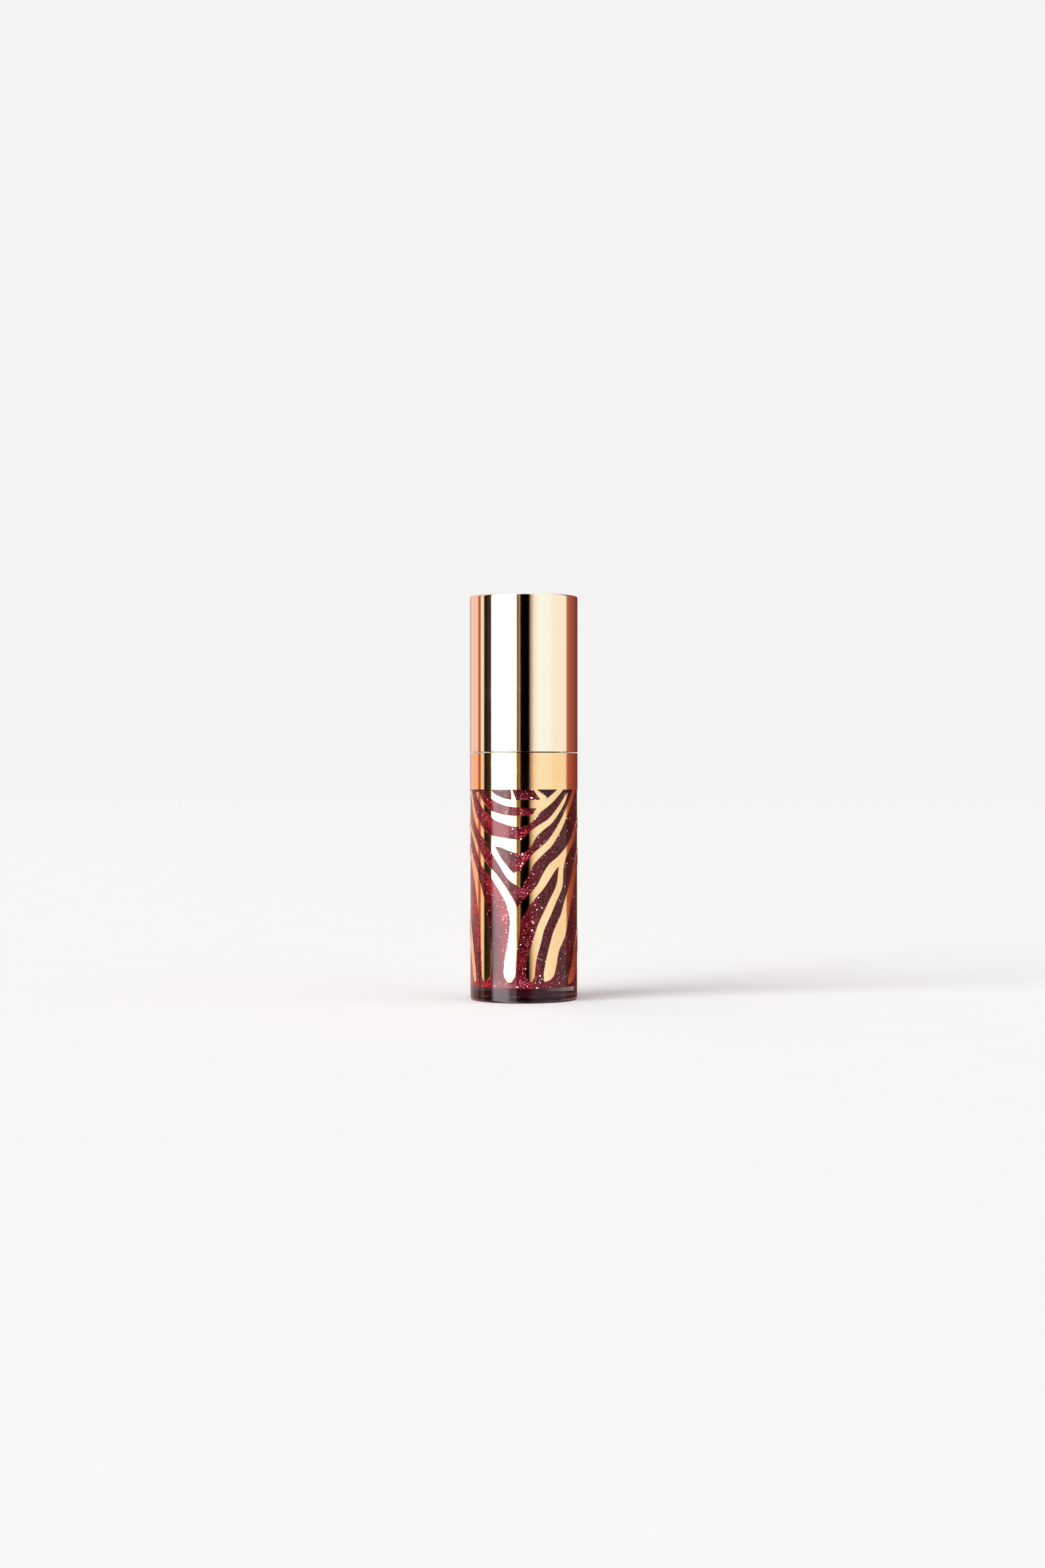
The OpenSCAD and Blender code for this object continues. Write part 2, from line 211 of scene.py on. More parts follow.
# %% [markdown]
# ## The clear bottle
# The body is injection moulded in one shot: a wall nearly 3 mm thick, a heavier base, a shoulder
# and a threaded neck. The thickness is what makes it look expensive, since it bends the light so
# far that the gloss seems to fill the whole width. A shell with no thickness can't do that, so
# the bottle is one closed skin that goes up the outside, down through the neck and round the
# chamber.

# %% Mould the bottle
LABEL_RADIUS, LABEL_RECESS, HEEL = 7 * MM, 0.3 * MM, 0.5 * MM


def bottle_radius(angle, r, z):
    on_neck = abs(r - NECK_RADIUS) < 1e-6 and SHOULDER + 0.5 * MM < z < NECK_TOP - 0.5 * MM
    return r + 0.7 * MM * ridge(angle, z, THREAD_START) if on_neck else r


bottle_outside = rounded([(0, LABEL_RECESS, 0), (LABEL_RADIUS, LABEL_RECESS, 0.08 * MM),
                          (LABEL_RADIUS, 0, 0.1 * MM), (GLASS_RADIUS, 0, HEEL),
                          (GLASS_RADIUS, SHOULDER, 0.1 * MM), (NECK_RADIUS, SHOULDER, 0.3 * MM),
                          (NECK_RADIUS, SHOULDER + 1 * MM, 0)])
neck_wall = wall_rows(NECK_RADIUS, SHOULDER + 1.2 * MM, NECK_TOP - 0.6 * MM)
bottle_inside = rounded([(NECK_RADIUS, NECK_TOP - 0.5 * MM, 0), (NECK_RADIUS, NECK_TOP, 0.2 * MM),
                         (BORE_RADIUS, NECK_TOP, 0.15 * MM), (BORE_RADIUS, CHAMBER_TOP, 0.4 * MM),
                         (CHAMBER_RADIUS, CHAMBER_TOP, 0.9 * MM),
                         (CHAMBER_RADIUS, BASE_THICKNESS, 0.3 * MM), (0, BASE_THICKNESS, 0)])
bottle = turned("clear_bottle", bottle_outside + neck_wall + bottle_inside, reshape=bottle_radius)
seat(bottle, "bottle", "bottle")

# %% [markdown]
# ## The gloss
# The filling wets the wall: there is no air between gloss and plastic. Two skins in the same
# place would flicker, so the gloss reaches a hair into the wall, which makes light pass straight
# from plastic to gloss as it does in the real bottle. The wand has left a round channel down the
# middle, and the free surface climbs a little where it meets the wall.

# %% Pour the gloss
WETTING, WAKE = 0.03 * MM, 0.25 * MM
GLOSS_RADIUS = CHAMBER_RADIUS + WETTING
gloss = turned("gloss_filling", rounded([
    (0, BASE_THICKNESS - WETTING, 0), (GLOSS_RADIUS, BASE_THICKNESS - WETTING, 0.3 * MM),
    (GLOSS_RADIUS, GLOSS_TOP, 0), (GLOSS_RADIUS - 1 * MM, GLOSS_TOP - 0.5 * MM, 0.6 * MM),
    (TIP_RADIUS + WAKE, GLOSS_TOP - 0.5 * MM, 0.3 * MM), (TIP_RADIUS + WAKE, TIP_END - WAKE, 0.5 * MM),
    (0, TIP_END - WAKE, 0)]))
seat(gloss, "bottle", "gloss")

# %% [markdown]
# ## The stripes
# The foil is one gold layer: a plain band under the cap, and below it stripes like an animal's
# coat. Each stripe is drawn the way a brush would, as a middle line with a width at each point.
# Across and width are in hundredths of the barrel's radius, seen from the front, and up is in
# hundredths of the striped height. The same stripes are taken straight through the barrel, so
# they run round its sides and meet their own mirror image on the back.

# %% Draw the stripes
BAND_FOOT = SHOULDER - 7 * MM
STRIPE_FOOT = 3.2 * MM
ARCH = [(-66, 101, 10), (-59, 97, 10), (-39, 94, 11), (-21, 93, 12.5), (0, 92.7, 14),
        (10, 92.6, 14.5), (20, 92.6, 15.5), (31, 92.8, 14.5), (39, 93, 13)]
UPPER_CHEVRON = [(-85.5, 98.7, 6), (-80.5, 94.8, 6.5), (-74.5, 91.9, 7.5), (-65.5, 89, 8),
                 (-59, 87.6, 9.5), (-51, 86.3, 13), (-40, 85.2, 14.5), (-29, 84.5, 17),
                 (-21, 84.1, 19), (-11.5, 83.8, 20), (0, 84, 18.5), (7.5, 84.6, 15.5),
                 (13.5, 85.6, 12.5), (20, 86.5, 9), (24.5, 88.8, 9.5), (35, 91.5, 11.5),
                 (49, 94.8, 11.5), (66, 99.6, 8.5), (69.5, 101, 8)]
MIDDLE_CHEVRON = [(-100, 101, 3), (-97, 97.6, 3), (-95, 94.8, 3.5), (-92.5, 90, 4.5),
                  (-89.5, 86.2, 6), (-86, 83.4, 7.5), (-78.5, 79.2, 9.5), (-72, 76.8, 11.5),
                  (-65, 75.2, 14), (-57, 74, 17), (-38, 73, 18), (-16, 71.4, 24), (1, 71.8, 22),
                  (16, 77, 16), (33, 81, 12), (48, 84, 10), (62, 89, 8), (73, 94, 6), (80, 98, 3)]
LOWER_CHEVRON = [(-64, 73, 13), (-47, 65, 9), (-38, 61.3, 10.5), (-29, 57.8, 13), (-19, 55.2, 16),
                 (-8, 54.2, 18), (3, 58.5, 16), (12, 63, 14), (22, 66.2, 14), (33, 69, 13),
                 (48, 73, 12), (62, 79, 10), (73, 85, 8), (82, 91, 7), (90, 97, 5), (95, 101, 4)]
CHEVRON_TIP = [(-10, 58.4, 14), (-7, 51.9, 13)]
LEFT_TRUNK = [(-103, 88, 3), (-99.5, 82, 3.5), (-96.5, 79, 4), (-92.7, 75.9, 4.2), (-89.4, 73, 5),
              (-85.6, 69.7, 6), (-78.6, 65.1, 8), (-72, 61.4, 10), (-57.6, 56.7, 11.5),
              (-48, 53.2, 12), (-36.5, 48.3, 13), (-26, 43.4, 14.5), (-19.5, 38.2, 17),
              (-16, 32.5, 18.5), (-17.5, 26.9, 19), (-20, 21, 18), (-23, 16.4, 20),
              (-24.8, 11.9, 20.7), (-26, 7.4, 21), (-26, 4.8, 18), (-26, 3.9, 12)]
RIGHT_BRANCH = [(-19, 29, 10), (-9, 37, 18), (6, 43, 15), (19, 47, 13), (31, 51, 13.5),
                (41.5, 56, 16), (52, 60.5, 16), (62, 63.2, 14.5), (70, 65.6, 12.5), (80, 69.5, 9.5),
                (88, 73.5, 7), (93, 77, 5.5), (98, 81, 4.5), (103, 86, 4)]
INNER_LEG = [(73, 67, 11), (68.4, 60, 9), (65, 51, 11.5), (53, 43.3, 13), (44.5, 38, 14),
             (36, 33, 14.3), (30, 29, 14), (22.5, 21.5, 15.5), (18, 17.5, 16.3), (14.7, 13.8, 16.5),
             (13, 9.7, 16), (12, 5.2, 15), (12, 3.8, 10)]
OUTER_LEG = [(103, 70, 5), (100, 66, 6), (94.6, 59.5, 7), (90, 53, 9), (85, 47.4, 11),
             (79.5, 41, 13.5), (75.5, 36, 15.5), (70, 31, 20), (64.5, 26.2, 23.5), (60.5, 23, 22),
             (56, 19.4, 19.8), (51.7, 14.5, 19.8), (48.8, 10, 20.5), (46, 6.7, 20), (42.5, 4.6, 15),
             (40, 3.6, 8)]
RIGHT_FOOT = [(103, 30, 4), (99, 22, 6), (95.5, 16, 7.5), (93.6, 11, 9.5), (90.4, 6.4, 11),
              (87, 3, 11), (85, 1.6, 7)]
LEFT_FOOT = [(-103, 39, 4), (-98, 27, 5), (-95, 17, 6), (-91, 6, 6), (-90, 2, 4)]
LEFT_LEG = [(-103, 72, 5), (-95, 64, 6), (-89, 57, 9), (-83, 49, 12), (-76, 38, 16), (-71, 27, 18),
            (-69, 17, 19), (-69, 7, 17), (-71, 4.2, 13), (-72, 3.4, 8)]
HOOK = [(-24, 101, 1.5), (-21, 98, 4), (-19, 95, 8)]
SPUR = [(17, 101, 4), (26, 98.2, 7.5), (36, 95.5, 12)]
STRIPES = [ARCH, UPPER_CHEVRON, MIDDLE_CHEVRON, LOWER_CHEVRON, CHEVRON_TIP, LEFT_TRUNK, RIGHT_BRANCH,
           INNER_LEG, OUTER_LEG, RIGHT_FOOT, LEFT_FOOT, LEFT_LEG, HOOK, SPUR]
print(len(STRIPES), "stripes")


# %% Turn a middle line and its widths into a smooth outline
def smooth_run(points, steps=10):
    """A smooth curve through points, each a Vector of across, up and width."""
    last = len(points) - 1
    run = []
    for i in range(last):
        a, b, c, d = points[max(i - 1, 0)], points[i], points[i + 1], points[min(i + 2, last)]
        for k in range(steps):
            t = k / steps
            run.append((2 * b + (c - a) * t + (2 * a - 5 * b + 4 * c - d) * t ** 2
                        + (3 * b - a - 3 * c + d) * t ** 3) / 2)
    return run + [points[last]]


def stripe_outline(stripe, spread=0):
    """The flat outline of a stripe in metres, wider all round by spread, with a round end."""
    up = (BAND_FOOT - STRIPE_FOOT) / 100
    across = BARREL_RADIUS / 100
    run = smooth_run([Vector((x * across, STRIPE_FOOT + z * up, w * across)) for x, z, w in stripe])
    left, right = [], []
    for i, point in enumerate(run):
        ahead = (run[min(i + 1, len(run) - 1)] - run[max(i - 1, 0)]).xy.normalized()
        out = Vector((-ahead.y, ahead.x)) * (point.z / 2 + spread)
        left.append(point.xy + out)
        right.append(point.xy - out)
    tip, half = run[-1], run[-1].z / 2 + spread
    heading = atan2(ahead.y, ahead.x)
    end = [tip.xy + Vector((cos(heading + a), sin(heading + a))) * half
           for a in (radians(d) for d in range(75, -90, -15))]
    return left + end + right[::-1]


# %% [markdown]
# Gold this bright shows every flaw, so the foil isn't made by shrinking a flat picture onto the
# bottle. The outlines are laid on the unrolled barrel as true curves, a triangulator joins
# stripes that overlap into one sheet, and upright cuts every few degrees let the sheet bend
# round the barrel. Each corner is then given the barrel's own normal, so that reflections run
# straight through the foil as they do through the cap.

# %% Cut the outlines into triangles that can bend round the barrel
def foil_triangles(outlines, cut_every=3):
    """Corners (angle, height) and triangles that cover the outlines on half of the barrel."""
    corners, cuts, faces = [], [], []
    for outline in outlines:
        turn = sum(a.x * b.y - b.x * a.y for a, b in zip(outline, outline[1:] + outline[:1]))
        faces.append(list(range(len(corners), len(corners) + len(outline))))
        corners += outline if turn > 0 else outline[::-1]
    for degrees in range(-90, 91, cut_every):
        side = BARREL_RADIUS * sin(radians(degrees))
        cuts.append((len(corners), len(corners) + 1))
        corners += [Vector((side, 0)), Vector((side, CAP_TOP))]
    points, _, triangles, _, _, sources = delaunay_2d_cdt(corners, cuts, faces, 0, 1e-7)
    kept = [t for t, source in zip(triangles, sources)
            if source and abs(sum(points[i].x for i in t)) < 3 * BARREL_RADIUS]
    return [(asin(min(max(p.x / BARREL_RADIUS, -1), 1)), p.y) for p in points], kept


# %% Wrap the foil round the barrel, front and back
def wrapped(name, outlines, inner, outer):
    """A closed foil between two radii that covers the outlines on both halves of the barrel."""
    places, triangles = foil_triangles(outlines)
    bm = bmesh.new()
    skins = {inner: {}, outer: {}}

    def corner(radius, angle, z):
        key = (round(sin(angle), 6), round(cos(angle), 6), round(z, 8))
        if key not in skins[radius]:
            skins[radius][key] = bm.verts.new((radius * sin(angle), -radius * cos(angle), z))
        return skins[radius][key]

    for back in (False, True):
        for triangle in triangles:
            spots = [places[i] for i in triangle]
            if back:
                spots = [(pi - a, z) for a, z in spots]
            for radius in (inner, outer):
                around = [corner(radius, a, z) for a, z in spots]
                if len(set(around)) == 3 and not bm.faces.get(around):
                    bm.faces.new(around)
    between = (inner + outer) / 2
    rims = [e for e in bm.edges if len(e.link_faces) == 1 and hypot(*e.verts[0].co.xy) > between]
    twin = {skins[outer][key]: skins[inner][key] for key in skins[outer]}
    for rim in rims:
        a, b = rim.verts
        bm.faces.new((a, b, twin[b], twin[a]))
    return into_piece(name, bm)


def barrel_normals(piece):
    """Give a foil's skins the barrel's own normals, and leave its cut edge as it is."""
    mesh = piece.data
    normals = []
    for polygon in mesh.polygons:
        outward = Vector((polygon.center.x, polygon.center.y, 0)).normalized()
        flat_edge = abs(outward.dot(polygon.normal)) < 0.7
        for vertex in polygon.vertices:
            place = mesh.vertices[vertex].co
            radial = Vector((place.x, place.y, 0)).normalized()
            side = 1 if radial.dot(polygon.normal) > 0 else -1
            normals.append(polygon.normal if flat_edge else radial * side)
    mesh.normals_split_custom_set(normals)


band = [Vector((x, z)) for x, z in ((-BARREL_RADIUS, BAND_FOOT), (BARREL_RADIUS, BAND_FOOT),
                                    (BARREL_RADIUS, SHOULDER), (-BARREL_RADIUS, SHOULDER))]
FOIL_SEAT = GLASS_RADIUS + 0.01 * MM
foil = wrapped("gold_band_and_stripes", [band] + [stripe_outline(s) for s in STRIPES],
               FOIL_SEAT, BARREL_RADIUS)
barrel_normals(foil)
seat(foil, "bottle", "gold_foil")
print(f"foil: {len(foil.data.polygons)} faces")

# %% [markdown]
# ## The blank label, the wiper and the washer
# A shade label is a printed disc that lies in a recess, out of reach of the shelf. The wiper is
# a soft plug: its flange seals the neck, its sleeve sits in the bore, and its lip at
# the bottom strips the wand. The washer is a ring of sealing foam, pressed slightly barrel-shaped.

# %% Cut the label
LABEL_THICKNESS = 0.1 * MM
label = turned("blank_label", rounded([
    (0, LABEL_RECESS - LABEL_THICKNESS, 0),
    (LABEL_RADIUS - 0.1 * MM, LABEL_RECESS - LABEL_THICKNESS, 0.03 * MM),
    (LABEL_RADIUS - 0.1 * MM, LABEL_RECESS, 0.03 * MM), (0, LABEL_RECESS, 0)]))
seat(label, "bottle", "shade_label")

# %% Mould the wiper
WIPER_LOW, WIPER_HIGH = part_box("wiper")[0].z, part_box("wiper")[1].z
FLANGE_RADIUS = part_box("wiper")[1].x
SLEEVE_RADIUS, LIP_RADIUS = BORE_RADIUS - 0.02 * MM, TIP_RADIUS + 0.08 * MM
LIP_THICKNESS = 0.8 * MM
wiper = turned("neck_wiper", rounded([
    (LIP_RADIUS, WIPER_LOW, 0.2 * MM), (SLEEVE_RADIUS - 0.8 * MM, WIPER_LOW, 0.1 * MM),
    (SLEEVE_RADIUS, WIPER_LOW + 0.8 * MM, 0.2 * MM), (SLEEVE_RADIUS, NECK_TOP, 0),
    (FLANGE_RADIUS, NECK_TOP, 0.15 * MM), (FLANGE_RADIUS, WIPER_HIGH, 0.2 * MM),
    (SLEEVE_RADIUS - 0.8 * MM, WIPER_HIGH, 0.3 * MM),
    (SLEEVE_RADIUS - 0.8 * MM, WIPER_LOW + 2 * LIP_THICKNESS, 0.4 * MM),
    (LIP_RADIUS, WIPER_LOW + LIP_THICKNESS, 0.2 * MM)]))
seat(wiper, "bottle", "wiper")

# %% Punch the washer
WASHER_LOW, WASHER_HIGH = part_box("seal_washer")[0].z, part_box("seal_washer")[1].z
WASHER_RADIUS, WASHER_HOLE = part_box("seal_washer")[1].x, STEM_RADIUS + 0.08 * MM
washer = turned("sealing_washer", rounded([
    (WASHER_HOLE, WASHER_LOW, 0.15 * MM), (WASHER_RADIUS, WASHER_LOW, 0.25 * MM),
    (WASHER_RADIUS, WASHER_HIGH, 0.25 * MM), (WASHER_HOLE, WASHER_HIGH, 0.15 * MM)]))
seat(washer, "washer", "seal_washer")

# %% [markdown]
# ## The cap
# The shell is one deep-drawn cup of thin aluminium, polished and anodised pale gold. Its only
# ornament is the fine bevel round the top, which catches a line of light. Inside it are the
# steel weight, which gives the cap its heft, and the moulded inner cap with the thread, the
# centring ribs and the socket for the wand.

# %% Draw the shell
CAP_WALL, CAP_TOP_THICKNESS = 0.45 * MM, 0.6 * MM
SHELL_RADIUS = BARREL_RADIUS - CAP_WALL
shell = turned("cap_metal_shell", rounded([
    (SHELL_RADIUS, CAP_BOTTOM, 0.04 * MM), (BARREL_RADIUS, CAP_BOTTOM, 0.04 * MM),
    (BARREL_RADIUS, CAP_TOP, 0.28 * MM), (0, CAP_TOP, 0),
    (0, CAP_TOP - CAP_TOP_THICKNESS, 0), (SHELL_RADIUS, CAP_TOP - CAP_TOP_THICKNESS, 0.3 * MM)]))
seat(shell, "cap", "cap_shell")

# %% Turn the weight
WEIGHT_LOW, WEIGHT_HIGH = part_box("cap_weight")[0].z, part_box("cap_weight")[1].z
WEIGHT_RADIUS, WEIGHT_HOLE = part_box("cap_weight")[1].x, 3.4 * MM
weight = turned("steel_weight", rounded([
    (WEIGHT_HOLE, WEIGHT_LOW, 0.3 * MM), (WEIGHT_RADIUS, WEIGHT_LOW, 0.3 * MM),
    (WEIGHT_RADIUS, WEIGHT_HIGH, 0.3 * MM), (WEIGHT_HOLE, WEIGHT_HIGH, 0.3 * MM)]))
seat(weight, "weight", "cap_weight")

# %% Mould the inner cap
SKIRT_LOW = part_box("inner_cap")[0].z
SOCKET_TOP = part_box("inner_cap")[1].z
DISC_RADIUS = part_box("inner_cap")[1].x
CEILING_TOP = WEIGHT_LOW - 0.1 * MM
SKIRT_INNER = NECK_RADIUS + 0.7 * MM + 0.15 * MM + 0.6 * MM
SKIRT_OUTER = SKIRT_INNER + 1.2 * MM
HEAD_RADIUS, SOCKET_RADIUS, HEAD_TOP = 2.3 * MM, 3.3 * MM, CEILING + 5 * MM
RIBS, RIB_HALF_ANGLE = 12, 0.4 * MM / SKIRT_OUTER


def inner_cap_radius(angle, r, z):
    """Thread on the bore of the skirt, and centring ribs on its outside."""
    if abs(r - SKIRT_INNER) < 1e-6:
        return r - 0.6 * MM * ridge(angle, z, THREAD_START - THREAD_PITCH / 2)
    if abs(r - SKIRT_OUTER) < 1e-6:
        spacing = 2 * pi / RIBS
        off = abs((angle + spacing / 2) % spacing - spacing / 2)
        return DISC_RADIUS - 0.05 * MM if off < RIB_HALF_ANGLE else r
    return r


inner_cap = turned("threaded_inner_cap", (
    [(SKIRT_OUTER, CEILING), (SKIRT_OUTER, SKIRT_LOW)]
    + wall_rows(SKIRT_INNER, SKIRT_LOW, CEILING - 0.05 * MM)
    + rounded([(SKIRT_INNER, CEILING, 0), (HEAD_RADIUS, CEILING, 0), (HEAD_RADIUS, HEAD_TOP, 0),
               (0, HEAD_TOP, 0), (0, SOCKET_TOP, 0), (SOCKET_RADIUS, SOCKET_TOP, 0.3 * MM),
               (SOCKET_RADIUS, CEILING_TOP, 0), (DISC_RADIUS, CEILING_TOP, 0.1 * MM),
               (DISC_RADIUS, CEILING, 0.1 * MM)])), segments=360, reshape=inner_cap_radius)
seat(inner_cap, "cap", "inner_cap")

# %% [markdown]
# ## The wand
# The stem is a thin rod with a head that snaps into the inner cap. It narrows just above the tip,
# where it flexes in use. The tip is a soft core with one slanted face, covered in short nylon
# fibres by electrostatic flocking. The core and the flock share one shape, so one function makes
# both: a rounded rod whose near side is pressed back onto a slanted plane.

# %% Turn the stem
PEG_RADIUS, PEG_LENGTH = 0.9 * MM, 5 * MM
stem = turned("wand_rod", rounded([
    (PEG_RADIUS, TIP_TOP + PEG_LENGTH, 0), (PEG_RADIUS, TIP_TOP, 0),
    (STEM_RADIUS, TIP_TOP, 0.15 * MM), (STEM_RADIUS, TIP_TOP + 1.2 * MM, 0.5 * MM),
    (1.35 * MM, TIP_TOP + 2.2 * MM, 0.8 * MM), (1.35 * MM, TIP_TOP + 6 * MM, 0.8 * MM),
    (STEM_RADIUS, TIP_TOP + 8 * MM, 0.8 * MM), (STEM_RADIUS, CEILING, 0),
    (HEAD_RADIUS, CEILING, 0), (HEAD_RADIUS, HEAD_TOP, 0.4 * MM), (0, HEAD_TOP, 0),
    (0, TIP_TOP + PEG_LENGTH, 0)]), segments=128)
seat(stem, "cap", "wand_stem")

# %% Shape the tip
SLANT, TIP_END_THICKNESS, FLOCK_DEPTH = radians(15), 0.8 * MM, 0.25 * MM
CORE_RADIUS = TIP_RADIUS - FLOCK_DEPTH


def tip_outline(radius, end, top):
    """Outline of a round-ended rod from its lower end up to a height."""
    rows = [(radius * sin(radians(d)), end + radius - radius * cos(radians(d))) for d in range(0, 90, 6)]
    return rows + wall_rows(radius, end + radius, top, step=0.15 * MM)


def press_flat(bm, skin, softness=0.25 * MM):
    """Push a rod's +Y side back onto the slanted plane, with a soft shoulder."""
    for vertex in bm.verts:
        lean = (vertex.co.z - TIP_END - FLOCK_DEPTH) * tan(SLANT)
        plane = TIP_END_THICKNESS - CORE_RADIUS + lean + skin / cos(SLANT)
        over = vertex.co.y - plane
        vertex.co.y -= (over + hypot(over, softness)) / 2 if over > -4 * softness else 0


bm = bmesh.new()
add_turned(bm, tip_outline(CORE_RADIUS, TIP_END + FLOCK_DEPTH, TIP_TOP - 0.01 * MM)
           + [(PEG_RADIUS, TIP_TOP - 0.01 * MM), (PEG_RADIUS, TIP_TOP + PEG_LENGTH - 0.05 * MM),
              (0, TIP_TOP + PEG_LENGTH - 0.05 * MM)], segments=96)
press_flat(bm, 0)
tip_core = into_piece("tip_soft_core", bm)
seat(tip_core, "cap", "tip_core")

# %% Flock the tip
bm = bmesh.new()
add_turned(bm, tip_outline(TIP_RADIUS, TIP_END, TIP_TOP - 0.1 * MM)
           + [(TIP_RADIUS - 0.1 * MM, TIP_TOP), (CORE_RADIUS, TIP_TOP)]
           + tip_outline(CORE_RADIUS, TIP_END + FLOCK_DEPTH, TIP_TOP - 0.1 * MM)[::-1], segments=160)
press_flat(bm, FLOCK_DEPTH)
tip_flock = into_piece("tip_flocking", bm)
seat(tip_flock, "cap", "tip_flock")
print("tip:", len(tip_flock.data.polygons), "faces")

# %% [markdown]
# ## Finishes: two helpers
# Every finish below is a small network of nodes. Adding them one by one takes three lines per
# node, so one helper adds a node with its inputs, and another starts a shared group with named
# inputs and outputs.

# %% Helpers for node networks
def add(tree, kind, inputs=None, **settings):
    """Add a node; inputs holds plain values or the sockets that feed it, by socket name."""
    node = tree.nodes.new(kind)
    for key, value in settings.items():
        setattr(node, key, value)
    for key, value in (inputs or {}).items():
        if isinstance(value, bpy.types.NodeSocket):
            tree.links.new(value, node.inputs[key])
        else:
            node.inputs[key].default_value = value
    return node


def sums(tree, operation, first, second=0.0, third=0.0, clamp=False):
    """One Math node, and its output."""
    node = add(tree, "ShaderNodeMath", {0: first, 1: second, 2: third},
               operation=operation, use_clamp=clamp)
    return node.outputs[0]


def spread(tree, value, low, high, to_low=0.0, to_high=1.0):
    """Map a value from one range to another, held inside it."""
    node = add(tree, "ShaderNodeMapRange", {"Value": value, "From Min": low, "From Max": high,
                                            "To Min": to_low, "To Max": to_high})
    return node.outputs[0]


def blended(tree, factor, first, second):
    """Mix two colours; a Mix node keeps its colour sockets in places 6 and 7."""
    node = add(tree, "ShaderNodeMix", {0: factor, 6: first, 7: second}, data_type="RGBA")
    return node.outputs[2]


# %% Start a shared group
def new_group(name, inputs, outputs):
    """An empty group; sockets are {name: (kind, default)}. Gives the group and its two ends."""
    group = bpy.data.node_groups.new(name, "ShaderNodeTree")
    for direction, sockets in (("INPUT", inputs), ("OUTPUT", outputs)):
        for label, (kind, default) in sockets.items():
            socket = group.interface.new_socket(label, in_out=direction, socket_type="NodeSocket" + kind)
            if default is not None:
                socket.default_value = default
    return group, group.nodes.new("NodeGroupInput").outputs, group.nodes.new("NodeGroupOutput").inputs


def place(tree, group, inputs):
    return add(tree, "ShaderNodeGroup", inputs, node_tree=group).outputs


# %% [markdown]
# ## Shared effect: signs of handling
# A polished surface looks computed until something interrupts it. Fingers leave soft patches
# that are slightly duller, and a cloth leaves hairlines that are thin, long and shallow. Both
# change only the roughness and the height, never the colour, so one group serves the metal, the
# foil and the clear plastic, each with its own amounts.

# %% Build the handling group
handling, given, result = new_group(
    "handling_marks",
    {"Place": ("Vector", None), "Polish": ("Float", 0.05), "Smudges": ("Float", 0.03),
     "Hairlines": ("Float", 0.1)},
    {"Roughness": ("Float", None), "Height": ("Float", None)})
patches = add(handling, "ShaderNodeTexNoise", {"Vector": given["Place"], "Scale": 160, "Detail": 4})
soft_patches = spread(handling, patches.outputs["Fac"], 0.45, 0.75)
hairlines = None
for turn, squeeze in ((0.35, (1, 1, 0.035)), (-0.6, (1, 1, 0.05)), (1.35, (1, 1, 0.06))):
    laid = add(handling, "ShaderNodeMapping", {"Vector": given["Place"], "Rotation": (turn, turn, 0),
                                               "Scale": squeeze})
    streak = add(handling, "ShaderNodeTexNoise", {"Vector": laid.outputs[0], "Scale": 2600, "Detail": 1})
    thin = spread(handling, sums(handling, "ABSOLUTE", sums(handling, "SUBTRACT",
                                                           streak.outputs["Fac"], 0.5)), 0.012, 0.0)
    sparse = add(handling, "ShaderNodeTexNoise", {"Vector": given["Place"], "Scale": 300 + 90 * turn,
                                                  "Detail": 2})
    here = sums(handling, "MULTIPLY", thin, spread(handling, sparse.outputs["Fac"], 0.5, 0.66))
    hairlines = sums(handling, "MAXIMUM", hairlines, here) if hairlines else here
dulled = sums(handling, "MULTIPLY_ADD", soft_patches, given["Smudges"], given["Polish"])
cut = sums(handling, "MULTIPLY", hairlines, given["Hairlines"])
handling.links.new(sums(handling, "MULTIPLY_ADD", cut, 0.6, dulled), result["Roughness"])
handling.links.new(sums(handling, "MULTIPLY", cut, -1), result["Height"])
print("group:", handling.name)

# %% [markdown]
# ## Shared effect: turning marks
# A round part that is cut or polished on a spindle keeps fine rings. Noise that is read at the
# distance from the axis and at the height, and not at the angle, is the same all the way round,
# so it draws exactly such rings on walls and on faces alike.

# %% Build the turning group
turning, given, result = new_group(
    "turning_marks", {"Place": ("Vector", None), "Spacing": ("Float", 0.0001)},
    {"Height": ("Float", None), "Band": ("Float", None)})
split = add(turning, "ShaderNodeSeparateXYZ", {0: given["Place"]}).outputs
out_from_axis = sums(turning, "SQRT", sums(turning, "ADD", sums(turning, "POWER", split["X"], 2),
                                           sums(turning, "POWER", split["Y"], 2)))
read_at = add(turning, "ShaderNodeCombineXYZ", {"X": out_from_axis, "Y": split["Z"]}).outputs[0]
fineness = sums(turning, "DIVIDE", 1, given["Spacing"])
rings = add(turning, "ShaderNodeTexNoise", {"Vector": read_at, "Scale": fineness, "Detail": 2})
wide = add(turning, "ShaderNodeTexNoise", {"Vector": read_at, "Scale": 700, "Detail": 1})
turning.links.new(rings.outputs["Fac"], result["Height"])
turning.links.new(wide.outputs["Fac"], result["Band"])
print("group:", turning.name)

# %% [markdown]
# ## Shared effect: the skin of a moulding
# Moulded plastic copies its tool, which is sparked or polished, and the melt freezes with faint
# clouds in its colour. Fine noise makes the texture of the tool, and wide noise the clouds.

